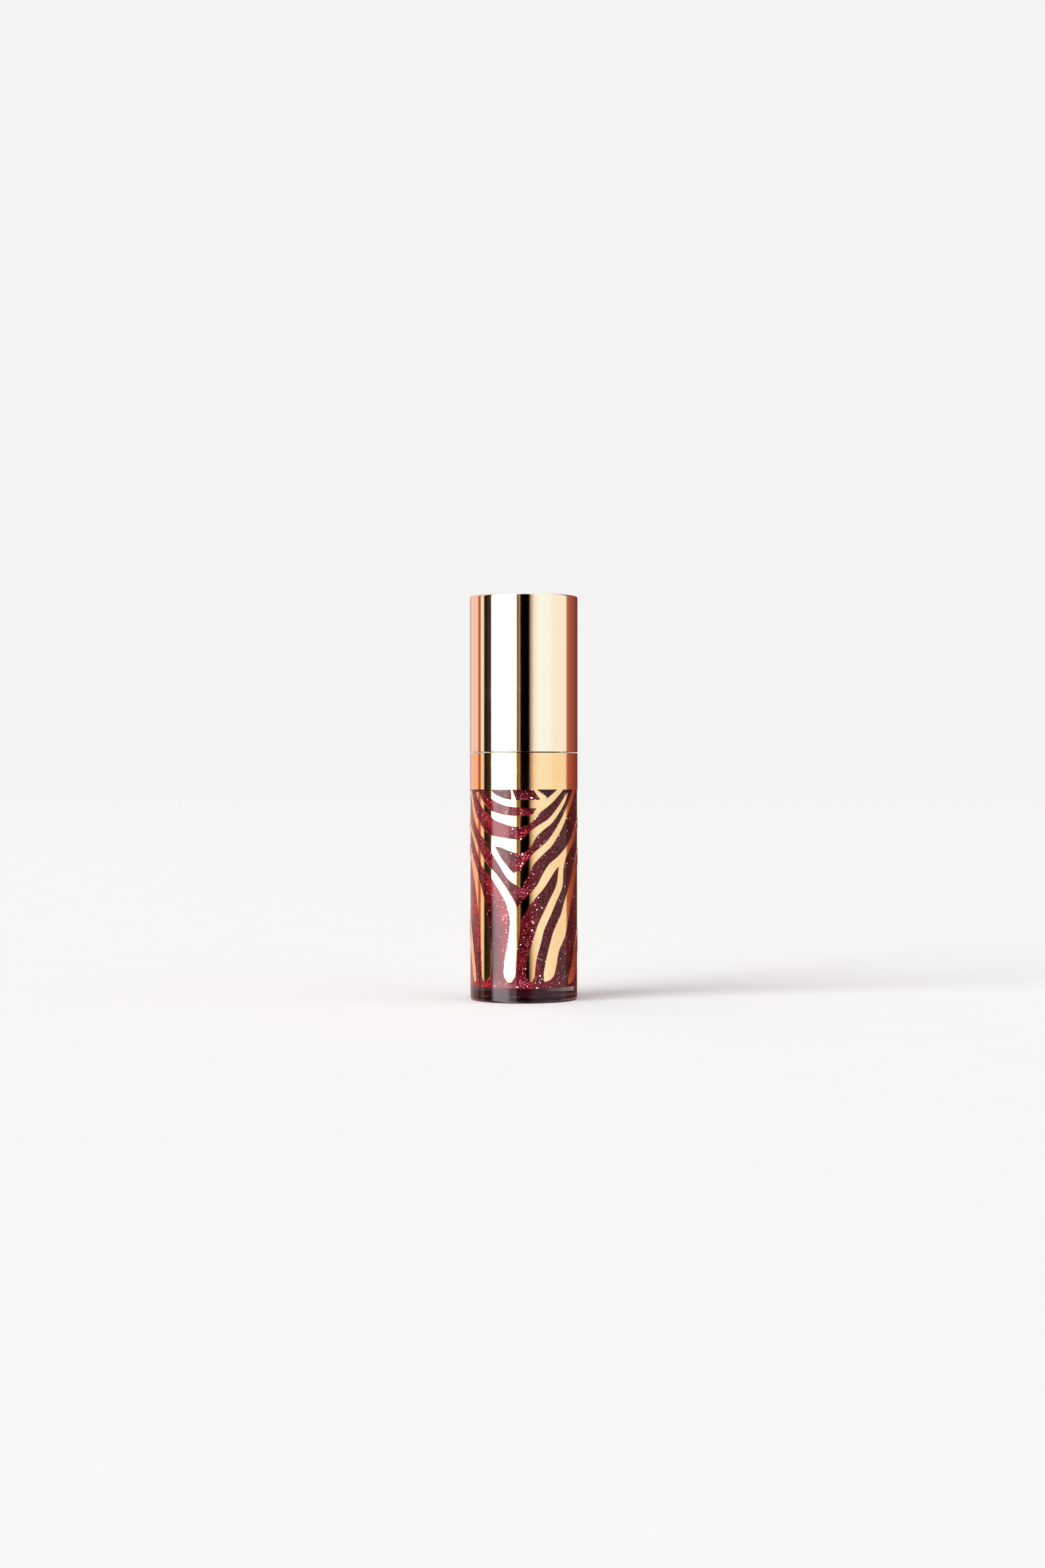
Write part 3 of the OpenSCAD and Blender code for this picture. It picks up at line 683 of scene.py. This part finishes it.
# %% Build the moulding group
moulding, given, result = new_group(
    "moulded_skin",
    {"Place": ("Vector", None), "Grain": ("Float", 0.0001), "Colour": ("Color", (1, 1, 1, 1)),
     "Clouds": ("Float", 0.1), "Dullness": ("Float", 0.4)},
    {"Colour": ("Color", None), "Roughness": ("Float", None), "Height": ("Float", None)})
grain = add(moulding, "ShaderNodeTexNoise",
            {"Vector": given["Place"], "Scale": sums(moulding, "DIVIDE", 1, given["Grain"]), "Detail": 3})
cloud = add(moulding, "ShaderNodeTexNoise", {"Vector": given["Place"], "Scale": 420, "Detail": 3})
shade = sums(moulding, "MULTIPLY", cloud.outputs["Fac"], given["Clouds"])
deeper = add(moulding, "ShaderNodeHueSaturation",
             {"Color": given["Colour"], "Value": sums(moulding, "SUBTRACT", 1, shade)})
moulding.links.new(deeper.outputs[0], result["Colour"])
moulding.links.new(sums(moulding, "MULTIPLY_ADD", grain.outputs["Fac"], 0.12, given["Dullness"]),
                   result["Roughness"])
moulding.links.new(grain.outputs["Fac"], result["Height"])
print("group:", moulding.name)

# %% [markdown]
# ## Shared effect: glitter
# The gloss is full of mica and glitter: flat flakes, each lying its own way, so that only the few
# that happen to face a light flash. Cells of a Voronoi texture stand for the flakes. A random
# value decides which cells hold one, a random direction tilts it, and the same group speckles
# the gloss itself and the film of gloss that is left on the wand.

# %% Build the glitter group
glitter, given, result = new_group(
    "glitter_flakes",
    {"Place": ("Vector", None), "Facing": ("Vector", None), "Flake size": ("Float", 0.0002),
     "Share": ("Float", 0.3), "Tilt": ("Float", 0.5)},
    {"Flake": ("Float", None), "Shade": ("Float", None), "Normal": ("Vector", None)})
cells = add(glitter, "ShaderNodeTexVoronoi",
            {"Vector": given["Place"], "Scale": sums(glitter, "DIVIDE", 1, given["Flake size"]),
             "Randomness": 1.0})
chance = add(glitter, "ShaderNodeSeparateColor", {0: cells.outputs["Color"]}).outputs
filled = sums(glitter, "LESS_THAN", chance["Red"], given["Share"])
inside = sums(glitter, "LESS_THAN", cells.outputs["Distance"], 0.42)
lean = add(glitter, "ShaderNodeVectorMath", {0: cells.outputs["Color"], 1: (0.5, 0.5, 0.5)},
           operation="SUBTRACT").outputs[0]
leaning = add(glitter, "ShaderNodeVectorMath", {0: lean, "Scale": given["Tilt"]},
              operation="SCALE").outputs[0]
turned_flake = add(glitter, "ShaderNodeVectorMath", {0: given["Facing"], 1: leaning}, operation="ADD")
settled = add(glitter, "ShaderNodeVectorMath", {0: turned_flake.outputs[0]}, operation="NORMALIZE")
glitter.links.new(sums(glitter, "MULTIPLY", filled, inside), result["Flake"])
glitter.links.new(chance["Green"], result["Shade"])
glitter.links.new(settled.outputs[0], result["Normal"])
print("group:", glitter.name)


# %% [markdown]
# ## Materials
# Each material is one Principled BSDF with the groups placed before it. What is the same all over
# a surface, such as an index of refraction, is typed straight into the shader. The helper gives
# every material its place and its bump, since all of them need both.

# %% Start a material
def new_finish(name, **constants):
    """A material with one Principled BSDF. Gives the material, its tree, the shader and the place."""
    made = bpy.data.materials.new(name)
    made.use_nodes = True
    tree = made.node_tree
    tree.nodes.clear()
    skin = add(tree, "ShaderNodeBsdfPrincipled")
    for label, value in constants.items():
        skin.inputs[label.replace("_", " ")].default_value = value
    end = add(tree, "ShaderNodeOutputMaterial", {"Surface": skin.outputs[0]})
    end.name = "end"
    return made, tree, skin, add(tree, "ShaderNodeTexCoord").outputs["Object"]


def feed(tree, skin, **sockets):
    for label, value in sockets.items():
        tree.links.new(value, skin.inputs[label.replace("_", " ")])


def bump(tree, height, depth, strength=1.0):
    """The normal of a surface that rises by height times depth, in metres."""
    return add(tree, "ShaderNodeBump", {"Height": height, "Distance": depth,
                                        "Strength": strength}).outputs[0]


def coat(piece, made):
    piece.data.materials.clear()
    piece.data.materials.append(made)


# %% [markdown]
# ### Pale gold cap
# Anodised aluminium is metal with a dye in its oxide skin, so the colour sits in the reflection
# itself: metallic is 1 and the base colour is a pale champagne. The polish is high, with a trace
# of rings from the spindle.

# %% Anodise the cap
PALE_GOLD = (0.98, 0.875, 0.66, 1)
gold_metal, tree, skin, at = new_finish("anodised_pale_gold", Metallic=1.0)
marks = place(tree, handling, {"Place": at, "Polish": 0.045, "Smudges": 0.03, "Hairlines": 0.12})
spun = place(tree, turning, {"Place": at, "Spacing": 0.09 * MM})
tone = blended(tree, spread(tree, spun["Band"], 0.3, 0.7), PALE_GOLD, (0.97, 0.86, 0.64, 1))
height = sums(tree, "MULTIPLY_ADD", spun["Height"], 0.06, marks["Height"])
feed(tree, skin, Base_Color=tone, Roughness=marks["Roughness"], Normal=bump(tree, height, 0.002 * MM))
coat(shell, gold_metal)

# %% [markdown]
# ### Gold foil
# The stripes are hot-stamped metal foil, a richer gold than the cap. Foil pressed on a moulding
# follows every small unevenness below it, so it ripples a little more than solid metal does.

# %% Stamp the foil
RICH_GOLD = (0.97, 0.71, 0.385, 1)
gold_foil, tree, skin, at = new_finish("stamped_gold_foil", Metallic=1.0)
marks = place(tree, handling, {"Place": at, "Polish": 0.055, "Smudges": 0.04, "Hairlines": 0.15})
ripple = add(tree, "ShaderNodeTexNoise", {"Vector": at, "Scale": 900, "Detail": 2}).outputs["Fac"]
tone = blended(tree, spread(tree, ripple, 0.35, 0.65), RICH_GOLD, (0.96, 0.68, 0.35, 1))
height = sums(tree, "MULTIPLY_ADD", ripple, 0.8, marks["Height"])
feed(tree, skin, Base_Color=tone, Roughness=marks["Roughness"], Normal=bump(tree, height, 0.003 * MM))
coat(foil, gold_foil)

# %% [markdown]
# ### Clear plastic
# The bottle is a glass-clear copolyester: full transmission and an index of 1.51. A ray tracer
# finds no lamp through glass, which would leave the gloss dark, so the material turns plainly
# transparent for shadow rays only, and light reaches the filling. Its shine is held to about half,
# which keeps the broad panels from laying a grey veil over the dark gel.

# %% Clear the bottle
WALL_SHINE = (0.5, 0.44, 0.46, 1)
clear_plastic, tree, skin, at = new_finish("clear_copolyester", Transmission_Weight=1.0, IOR=1.51,
                                           Metallic=0.0, Base_Color=(0.99, 0.985, 0.98, 1),
                                           Specular_Tint=WALL_SHINE)
marks = place(tree, handling, {"Place": at, "Polish": 0.0, "Smudges": 0.02, "Hairlines": 0.15})
flow = add(tree, "ShaderNodeTexNoise", {"Vector": at, "Scale": 240, "Detail": 1}).outputs["Fac"]
height = sums(tree, "MULTIPLY_ADD", flow, 2.0, marks["Height"])
feed(tree, skin, Roughness=marks["Roughness"], Normal=bump(tree, height, 0.003 * MM))
open_to_light = add(tree, "ShaderNodeBsdfTransparent", {"Color": (0.97, 0.96, 0.95, 1)})
shadow = add(tree, "ShaderNodeLightPath").outputs["Is Shadow Ray"]
either = add(tree, "ShaderNodeMixShader", {0: shadow, 1: skin.outputs[0], 2: open_to_light.outputs[0]})
tree.links.new(either.outputs[0], tree.nodes["end"].inputs["Surface"])
coat(bottle, clear_plastic)

# %% [markdown]
# ### Glitter gloss
# The filling is a raspberry gel, darker where it pools and streaked where the wand stirred it.
# Two sizes of flake float in it: a fine pearl that lifts the whole colour, and a few larger
# flakes that flash. Gel against plastic has no shine of its own, so the specular level is low.

# %% Mix the gloss
DEEP_RASPBERRY, RASPBERRY = (0.055, 0.001, 0.003, 1), (0.19, 0.005, 0.011, 1)
FLAKE_METAL = 0.85
PEARL_PINK, FLASH_PINK = (0.84, 0.19, 0.26, 1), (1.0, 0.74, 0.77, 1)


def glossy_gel(name, specular):
    """The gel with its flakes; the same recipe fills the bottle and soaks the flock."""
    made, tree, skin, at = new_finish(name, Specular_IOR_Level=specular)
    facing = add(tree, "ShaderNodeNewGeometry").outputs["Normal"]
    stirred = add(tree, "ShaderNodeTexNoise", {"Vector": at, "Scale": 260, "Detail": 5, "Distortion": 1.6})
    colour = blended(tree, spread(tree, stirred.outputs["Fac"], 0.35, 0.68), DEEP_RASPBERRY, RASPBERRY)
    fine = place(tree, glitter, {"Place": at, "Facing": facing, "Flake size": 0.15 * MM, "Share": 0.36,
                                 "Tilt": 0.8})
    large = place(tree, glitter, {"Place": at, "Facing": facing, "Flake size": 0.28 * MM, "Share": 0.09,
                                  "Tilt": 0.9})
    pearl = sums(tree, "MULTIPLY", fine["Flake"], spread(tree, fine["Shade"], 0, 1, 0.15, 1.0))
    colour = blended(tree, pearl, colour, PEARL_PINK)
    colour = blended(tree, large["Flake"], colour, FLASH_PINK)
    flake = sums(tree, "MAXIMUM", pearl, large["Flake"])
    tilt = add(tree, "ShaderNodeMix", {0: large["Flake"], 4: fine["Normal"], 5: large["Normal"]},
               data_type="VECTOR").outputs[1]
    tilt = add(tree, "ShaderNodeMix", {0: flake, 4: facing, 5: tilt}, data_type="VECTOR").outputs[1]
    feed(tree, skin, Base_Color=colour, Metallic=sums(tree, "MULTIPLY", flake, FLAKE_METAL), Normal=tilt,
         Roughness=spread(tree, flake, 0, 1, 0.5, 0.22))
    return made, tree, skin, at


coat(gloss, glossy_gel("raspberry_glitter_gloss", 0.05)[0])

# %% [markdown]
# ### Soft, foamed and rigid plastics
# The wiper and the tip core are low-density polyethylene: milky, waxy and dull. The washer is a
# closed-cell foam, pricked all over with tiny pores. The inner cap is ivory polypropylene with a
# sparked texture, and the stem is black and polished.

# %% Mould the soft plastics
soft_plastic, tree, skin, at = new_finish("milky_polyethylene", Subsurface_Weight=0.25,
                                          Subsurface_Scale=0.6 * MM, IOR=1.51)
moulded = place(tree, moulding, {"Place": at, "Grain": 0.12 * MM, "Colour": (0.80, 0.77, 0.72, 1),
                                 "Clouds": 0.14, "Dullness": 0.34})
feed(tree, skin, Base_Color=moulded["Colour"], Roughness=moulded["Roughness"],
     Normal=bump(tree, moulded["Height"], 0.01 * MM))
coat(wiper, soft_plastic)
coat(tip_core, soft_plastic)

# %% Foam the washer
seal_foam, tree, skin, at = new_finish("closed_cell_foam", Specular_IOR_Level=0.3)
pores_and_painted_pore_shade = add(tree, "ShaderNodeTexVoronoi", {"Vector": at, "Scale": 1 / (0.16 * MM)}).outputs["Distance"]
moulded = place(tree, moulding, {"Place": at, "Grain": 0.3 * MM, "Colour": (0.83, 0.82, 0.79, 1),
                                 "Clouds": 0.2, "Dullness": 0.7})
# The pore centres are painted darker: painted shade inside each pore, on top of their bump.
colour = blended(tree, spread(tree, pores_and_painted_pore_shade, 0.1, 0.5), (0.52, 0.50, 0.47, 1), moulded["Colour"])
feed(tree, skin, Base_Color=colour, Roughness=moulded["Roughness"], Normal=bump(tree, pores_and_painted_pore_shade, 0.05 * MM))
coat(washer, seal_foam)

# %% Mould the inner cap
white_plastic, tree, skin, at = new_finish("ivory_polypropylene", IOR=1.49)
moulded = place(tree, moulding, {"Place": at, "Grain": 0.06 * MM, "Colour": (0.86, 0.82, 0.74, 1),
                                 "Clouds": 0.1, "Dullness": 0.3})
feed(tree, skin, Base_Color=moulded["Colour"], Roughness=moulded["Roughness"],
     Normal=bump(tree, moulded["Height"], 0.006 * MM))
coat(inner_cap, white_plastic)

# %% [markdown]
# ### Turned steel
# The weight is bar steel, cut on an automatic lathe and left bare, so its rings are coarse and
# its colour is a cool grey with a little stain.

# %% Cut the steel
steel, tree, skin, at = new_finish("turned_steel", Metallic=1.0)
cut_rings = place(tree, turning, {"Place": at, "Spacing": 0.16 * MM})
marks = place(tree, handling, {"Place": at, "Polish": 0.24, "Smudges": 0.15, "Hairlines": 0.3})
colour = blended(tree, cut_rings["Band"], (0.50, 0.49, 0.47, 1), (0.66, 0.66, 0.65, 1))
feed(tree, skin, Base_Color=colour, Roughness=marks["Roughness"],
     Normal=bump(tree, cut_rings["Height"], 0.02 * MM))
coat(weight, steel)

# %% [markdown]
# ### The wet wand
# The wiper strips the stem to a thin film that gathers in beads and streaks below the neck. The
# film is a mask over the black plastic: where it lies, the colour turns to gloss and the flakes
# appear. The flock below is soaked, so it takes the gel's own recipe with a bump of short fibres.

# %% Film the stem
stem_plastic, tree, skin, at = new_finish("black_stem_with_gloss_film", IOR=1.5)
facing = add(tree, "ShaderNodeNewGeometry").outputs["Normal"]
moulded = place(tree, moulding, {"Place": at, "Grain": 0.08 * MM, "Colour": (0.016, 0.014, 0.015, 1),
                                 "Clouds": 0.3, "Dullness": 0.12})
drawn = add(tree, "ShaderNodeMapping", {"Vector": at, "Scale": (1, 1, 0.22)}).outputs[0]
streaks = add(tree, "ShaderNodeTexNoise", {"Vector": drawn, "Scale": 900, "Detail": 3}).outputs["Fac"]
up = add(tree, "ShaderNodeSeparateXYZ", {0: at}).outputs["Z"]
reach = spread(tree, up, TIP_TOP, GLOSS_TOP + 4 * MM, 0.12, -0.30)
film = spread(tree, sums(tree, "ADD", streaks, reach), 0.42, 0.56)
flakes = place(tree, glitter, {"Place": at, "Facing": facing, "Flake size": 0.17 * MM, "Share": 0.35,
                               "Tilt": 1.0})
wet = blended(tree, film, moulded["Colour"], (0.20, 0.015, 0.03, 1))
shown = sums(tree, "MULTIPLY", film, flakes["Flake"])
wet = blended(tree, shown, wet, FLASH_PINK)
feed(tree, skin, Base_Color=wet, Metallic=shown, Roughness=moulded["Roughness"],
     Normal=bump(tree, sums(tree, "MULTIPLY_ADD", film, 4.0, moulded["Height"]), 0.02 * MM))
coat(stem, stem_plastic)

# %% Soak the flock
flock, tree, skin, at = glossy_gel("soaked_flock", 0.5)
fibres = add(tree, "ShaderNodeTexVoronoi", {"Vector": at, "Scale": 1 / (0.14 * MM)}).outputs["Distance"]
skin.inputs["Coat Weight"].default_value = 0.5
skin.inputs["Coat Roughness"].default_value = 0.12
tree.links.new(bump(tree, fibres, -0.12 * MM), skin.inputs["Coat Normal"])
coat(tip_flock, flock)

# %% [markdown]
# ### Blank label
# The label is varnished paper, left blank, and its deep plum is painted shade. Its colour
# matters more than its size suggests: thick clear plastic mirrors whatever lies under it, so a
# dark label is what makes the foot of the bottle look nearly black from the side, as if in shade.

# %% Varnish the label
label_paper, tree, skin, at = new_finish("satin_label_paper_painted_shade", Coat_Weight=0.3, Coat_Roughness=0.25)
# The near-black plum is painted shade, which the clear base mirrors into its foot.
moulded = place(tree, moulding, {"Place": at, "Grain": 0.05 * MM, "Colour": (0.030, 0.006, 0.010, 1),
                                 "Clouds": 0.12, "Dullness": 0.45})
feed(tree, skin, Base_Color=moulded["Colour"], Roughness=moulded["Roughness"],
     Normal=bump(tree, moulded["Height"], 0.01 * MM))
coat(label, label_paper)
print(len(bpy.data.materials), "materials")

# %% [markdown]
# ## Floor
# The floor is plain, pale and matt. Polished metal would mirror its edge as a hard line, so the
# floor is left out of reflections, as a photographer flags it off with a card.

# %% Lay the floor
FLOOR_HALF = 6
mesh = bpy.data.meshes.new("pale_floor")
mesh.from_pydata([(x * FLOOR_HALF, y * FLOOR_HALF, 0) for x, y in ((-1, -1), (1, -1), (1, 1), (-1, 1))],
                 [], [(0, 1, 2, 3)])
floor = bpy.data.objects.new("pale_floor", mesh)
bpy.context.scene.collection.objects.link(floor)
matt, tree, skin, at = new_finish("matt_pale_floor", Roughness=0.9, Specular_IOR_Level=0.2)
mottle = add(tree, "ShaderNodeTexNoise", {"Vector": at, "Scale": 60, "Detail": 3}).outputs["Fac"]
feed(tree, skin, Base_Color=blended(tree, mottle, (0.625, 0.648, 0.650, 1), (0.645, 0.668, 0.670, 1)))
coat(floor, matt)
floor.visible_glossy = False
floor.visible_transmission = False
floor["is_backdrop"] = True

# %% [markdown]
# ## Light
# A mirror-bright cylinder shows nothing but its surroundings, squeezed into upright strips: the
# light at angle 2a round the room appears at angle a round the tube. So the studio is drawn as
# upright panels round the tube: a strong white softbox to the left of the camera, a black flag
# beside it with one thin gold edge, a large cream reflector on the right and warm cards at the
# sides. Above half height
# the panels give way to one soft overhead light.

# %% Hang the panels round the tube
FULL_POWER = 10.0
PANELS = [
    (-180, (0.022, 0.007, 0.006)), (-166, (0.040, 0.012, 0.010)), (-156, (0.098, 0.066, 0.062)),
    (-128, (0.096, 0.058, 0.054)), (-117, (0.097, 0.066, 0.058)), (-114, (0.050, 0.010, 0.006)),
    (-107, (0.050, 0.010, 0.006)), (-105, (0.100, 0.084, 0.070)), (-96, (0.100, 0.084, 0.070)),
    (-94, (0.001, 0.000, 0.000)), (-76, (0.005, 0.004, 0.003)), (-74, (0.005, 0.004, 0.003)),
    (-72, (0.300, 0.300, 0.300)), (-66, (0.950, 0.950, 0.960)),
    (-36, (0.950, 0.950, 0.960)), (-29, (0.300, 0.300, 0.300)), (-17, (0.300, 0.300, 0.300)),
    (-15, (0.014, 0.006, 0.003)), (-12, (0.014, 0.006, 0.003)), (-10.5, (0.045, 0.028, 0.012)),
    (-8, (0.045, 0.028, 0.012)), (-7, (0.0001, 0.0, 0.0)), (11, (0.0001, 0.0, 0.0)),
    (15, (0.050, 0.036, 0.032)),
    (22, (0.095, 0.085, 0.085)), (31, (0.100, 0.106, 0.113)), (55, (0.100, 0.105, 0.111)),
    (68, (0.099, 0.094, 0.091)), (101, (0.098, 0.091, 0.088)), (107, (0.045, 0.014, 0.009)),
    (126, (0.034, 0.008, 0.006)), (150, (0.020, 0.005, 0.004))]
OVERHEAD = (0.13, 0.13, 0.13, 1)

world = bpy.data.worlds.new("studio_panels")
bpy.context.scene.world = world
world.use_nodes = True
tree = world.node_tree
tree.nodes.clear()
aim = add(tree, "ShaderNodeSeparateXYZ", {0: add(tree, "ShaderNodeTexCoord").outputs["Generated"]}).outputs
forward = sums(tree, "MULTIPLY", aim["Y"], -1)
around = spread(tree, sums(tree, "ARCTAN2", aim["X"], forward), -pi, pi)
panels = add(tree, "ShaderNodeValToRGB", {0: around})
stops = panels.color_ramp.elements
while len(stops) < len(PANELS):
    stops.new(0.5)
for stop, (angle, colour) in zip(stops, PANELS):
    stop.position = (angle + 180) / 360
    stop.color = (*colour, 1)
lit = blended(tree, spread(tree, aim["Z"], sin(radians(40)), sin(radians(62))), panels.outputs[0], OVERHEAD)
studio = add(tree, "ShaderNodeBackground", {"Color": lit, "Strength": FULL_POWER})
print(len(PANELS), "edges of panels")

# %% [markdown]
# Two kinds of ray see something else. The camera sees a plain pale backdrop, and a ray that has
# passed straight through the clear base sees a dark card, which is how a photographer keeps thick
# clear plastic from vanishing into a white background. A ray that has bounced off a flake or off
# the gel on its way still sees the panels, and that is what makes the glitter sparkle.

# %% Hang the backdrop and the dark card
BACKDROP, DARK_CARD = (0.90, 0.90, 0.90, 1), (0.034, 0.005, 0.008, 1)
backdrop = add(tree, "ShaderNodeBackground", {"Color": BACKDROP, "Strength": 1.0})
dark_card = add(tree, "ShaderNodeBackground", {"Color": DARK_CARD, "Strength": 1.0})
ray = add(tree, "ShaderNodeLightPath").outputs
bounced = sums(tree, "ADD", ray["Glossy Depth"], ray["Diffuse Depth"])
straight = sums(tree, "LESS_THAN", bounced, 0.5)
straight_through = sums(tree, "MULTIPLY", ray["Is Transmission Ray"], straight)
past_glass = add(tree, "ShaderNodeMixShader",
                 {0: straight_through, 1: studio.outputs[0], 2: dark_card.outputs[0]})
seen = add(tree, "ShaderNodeMixShader",
           {0: ray["Is Camera Ray"], 1: past_glass.outputs[0], 2: backdrop.outputs[0]})
add(tree, "ShaderNodeOutputWorld", {"Surface": seen.outputs[0]})

# %% [markdown]
# ## Camera
# The camera stands half a metre away at the tube's mid-height and looks straight at it, so the
# barrel keeps its parallel sides. The view is 304 mm tall where the tube stands.

# %% Set up the camera
CAMERA_DISTANCE, VIEW_HEIGHT = 0.5, 0.304
CAMERA_SIDE, CAMERA_LEVEL = -0.26 * MM, 41.75 * MM
lens = bpy.data.cameras.new("studio_camera")
lens.sensor_fit = "VERTICAL"
lens.angle = 2 * atan2(VIEW_HEIGHT / 2, CAMERA_DISTANCE)
lens.clip_start = 0.01
camera = bpy.data.objects.new("studio_camera", lens)
camera.location = (CAMERA_SIDE, -CAMERA_DISTANCE, CAMERA_LEVEL)
camera.rotation_euler = (radians(90), 0, 0)
bpy.context.scene.collection.objects.link(camera)
bpy.context.scene.camera = camera
bpy.context.scene.view_settings.view_transform = "Standard"
print(f"field of view {lens.angle * 180 / pi:.1f} degrees")

# %% [markdown]
# ## Sizes
# The looks must not change the size of the part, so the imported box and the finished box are
# written down side by side.

# %% Write the sizes and finish
visual_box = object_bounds()
for name, box in (("cad", cad_box), ("visual", visual_box)):
    print(name, [[round(value / MM, 2) for value in corner] for corner in box])
